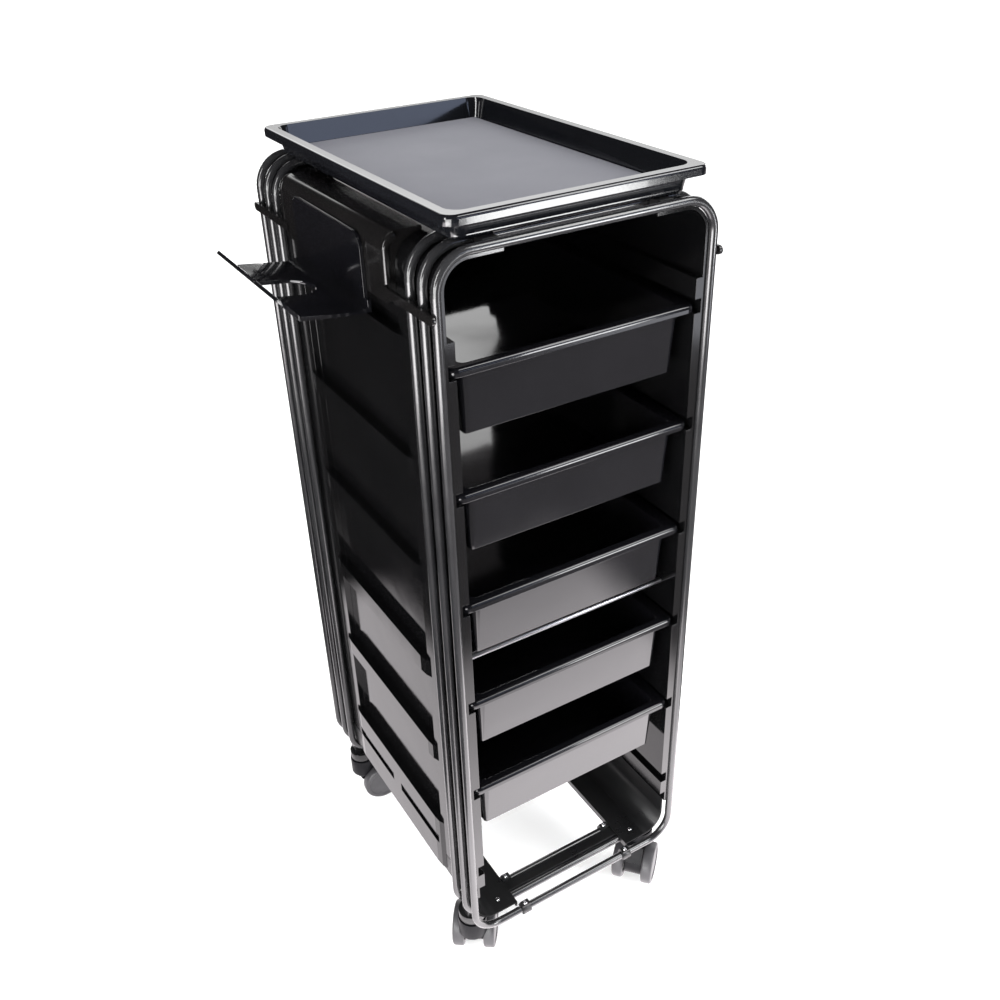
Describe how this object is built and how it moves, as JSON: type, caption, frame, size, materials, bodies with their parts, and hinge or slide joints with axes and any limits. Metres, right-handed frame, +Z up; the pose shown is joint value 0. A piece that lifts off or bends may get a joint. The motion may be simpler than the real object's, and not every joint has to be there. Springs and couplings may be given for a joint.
{
  "type": "rolling salon trolley",
  "caption": "Rolling salon trolley: black rod frame, moulded side panels with runner slots, open drawers, top tray with grey mat, side tool holder, twin-wheel casters.",
  "frame": {"origin": "on the floor, under the middle of the whole trolley's box, tool holder included, so the rod frame's centre line stands at x = 38.75 mm", "axes": "+Z up, -Y the side the drawers open on, +X the trolley's right"},
  "size_m": [0.3544, 0.38, 0.867],
  "materials": {
    "rod_black": "gloss black powder coat",
    "base_black": "satin black coat",
    "clip_black": "satin",
    "screw_steel": "bright zinc",
    "tie_steel": "bright",
    "panel_gloss": "moulded gloss black",
    "holder_gloss": "moulded gloss black",
    "tray_gloss": "moulded gloss black",
    "mat_grey": "matte",
    "drawer_gloss": "moulded gloss black",
    "caster_steel": "zinc",
    "caster_hood": "satin grey",
    "caster_wheel": "satin grey"
  },
  "bodies": {
    "frame": {"frame_loop_1": "rod_black", "frame_loop_2": "rod_black", "frame_loop_3": "rod_black", "frame_loop_4": "rod_black", "frame_loop_5": "rod_black", "frame_loop_6": "rod_black", "base_plate_left": "base_black", "base_plate_right": "base_black", "base_crossbar_front": "base_black", "base_crossbar_back": "base_black", "rod_clips": "clip_black", "clip_screws": "screw_steel", "plate_screws": "screw_steel", "tie_rod_front": "tie_steel", "tie_rod_back": "tie_steel", "tie_rod_screws": "screw_steel", "side_panel_left": "panel_gloss", "side_panel_right": "panel_gloss", "side_cover_left": "panel_gloss", "side_cover_right": "panel_gloss", "tool_holder": "holder_gloss", "tray": "tray_gloss", "tray_mat": "mat_grey", "tray_clips": "tray_gloss", "caster_1_stem": "caster_steel", "caster_2_stem": "caster_steel", "caster_3_stem": "caster_steel", "caster_4_stem": "caster_steel"},
    "drawer_body_1": {"drawer_1": "drawer_gloss"},
    "drawer_body_2": {"drawer_2": "drawer_gloss"},
    "drawer_body_3": {"drawer_3": "drawer_gloss"},
    "drawer_body_4": {"drawer_4": "drawer_gloss"},
    "drawer_body_5": {"drawer_5": "drawer_gloss"},
    "caster_1_swivel": {"caster_1_hood": "caster_hood", "caster_1_axle": "caster_steel"},
    "caster_1_wheel_a_body": {"caster_1_wheel_a": "caster_wheel"},
    "caster_1_wheel_b_body": {"caster_1_wheel_b": "caster_wheel"},
    "caster_2_swivel": {"caster_2_hood": "caster_hood", "caster_2_axle": "caster_steel"},
    "caster_2_wheel_a_body": {"caster_2_wheel_a": "caster_wheel"},
    "caster_2_wheel_b_body": {"caster_2_wheel_b": "caster_wheel"},
    "caster_3_swivel": {"caster_3_hood": "caster_hood", "caster_3_axle": "caster_steel"},
    "caster_3_wheel_a_body": {"caster_3_wheel_a": "caster_wheel"},
    "caster_3_wheel_b_body": {"caster_3_wheel_b": "caster_wheel"},
    "caster_4_swivel": {"caster_4_hood": "caster_hood", "caster_4_axle": "caster_steel"},
    "caster_4_wheel_a_body": {"caster_4_wheel_a": "caster_wheel"},
    "caster_4_wheel_b_body": {"caster_4_wheel_b": "caster_wheel"}
  },
  "joints": [
    {"name": "drawer_1_slide", "type": "slide", "parent": "frame", "child": "drawer_body_1", "axis": [0, -1, 0], "range_m": [0, 0.3]},
    {"name": "drawer_2_slide", "type": "slide", "parent": "frame", "child": "drawer_body_2", "axis": [0, -1, 0], "range_m": [0, 0.3]},
    {"name": "drawer_3_slide", "type": "slide", "parent": "frame", "child": "drawer_body_3", "axis": [0, -1, 0], "range_m": [0, 0.3]},
    {"name": "drawer_4_slide", "type": "slide", "parent": "frame", "child": "drawer_body_4", "axis": [0, -1, 0], "range_m": [0, 0.3]},
    {"name": "drawer_5_slide", "type": "slide", "parent": "frame", "child": "drawer_body_5", "axis": [0, -1, 0], "range_m": [0, 0.3]},
    {"name": "caster_1_swivel_joint", "type": "hinge", "parent": "frame", "child": "caster_1_swivel", "pos_m": [-0.07925, -0.147, 0.06], "axis": [0, 0, 1], "continuous": true},
    {"name": "caster_1_wheel_a_spin", "type": "hinge", "parent": "caster_1_swivel", "child": "caster_1_wheel_a_body", "pos_m": [-0.06842, -0.13262, 0.025], "axis": [-0.7986, 0.6018, 0], "continuous": true},
    {"name": "caster_1_wheel_b_spin", "type": "hinge", "parent": "caster_1_swivel", "child": "caster_1_wheel_b_body", "pos_m": [-0.06842, -0.13262, 0.025], "axis": [-0.7986, 0.6018, 0], "continuous": true},
    {"name": "caster_2_swivel_joint", "type": "hinge", "parent": "frame", "child": "caster_2_swivel", "pos_m": [0.15675, -0.147, 0.06], "axis": [0, 0, 1], "continuous": true},
    {"name": "caster_2_wheel_a_spin", "type": "hinge", "parent": "caster_2_swivel", "child": "caster_2_wheel_a_body", "pos_m": [0.14296, -0.15857, 0.025], "axis": [0.6428, -0.766, 0], "continuous": true},
    {"name": "caster_2_wheel_b_spin", "type": "hinge", "parent": "caster_2_swivel", "child": "caster_2_wheel_b_body", "pos_m": [0.14296, -0.15857, 0.025], "axis": [0.6428, -0.766, 0], "continuous": true},
    {"name": "caster_3_swivel_joint", "type": "hinge", "parent": "frame", "child": "caster_3_swivel", "pos_m": [-0.07925, 0.147, 0.06], "axis": [0, 0, 1], "continuous": true},
    {"name": "caster_3_wheel_a_spin", "type": "hinge", "parent": "caster_3_swivel", "child": "caster_3_wheel_a_body", "pos_m": [-0.06132, 0.14543, 0.025], "axis": [0.0872, 0.9962, 0], "continuous": true},
    {"name": "caster_3_wheel_b_spin", "type": "hinge", "parent": "caster_3_swivel", "child": "caster_3_wheel_b_body", "pos_m": [-0.06132, 0.14543, 0.025], "axis": [0.0872, 0.9962, 0], "continuous": true},
    {"name": "caster_4_swivel_joint", "type": "hinge", "parent": "frame", "child": "caster_4_swivel", "pos_m": [0.15675, 0.147, 0.06], "axis": [0, 0, 1], "continuous": true},
    {"name": "caster_4_wheel_a_spin", "type": "hinge", "parent": "caster_4_swivel", "child": "caster_4_wheel_a_body", "pos_m": [0.13984, 0.14084, 0.025], "axis": [0.342, -0.9397, 0], "continuous": true},
    {"name": "caster_4_wheel_b_spin", "type": "hinge", "parent": "caster_4_swivel", "child": "caster_4_wheel_b_body", "pos_m": [0.13984, 0.14084, 0.025], "axis": [0.342, -0.9397, 0], "continuous": true}
  ]
}
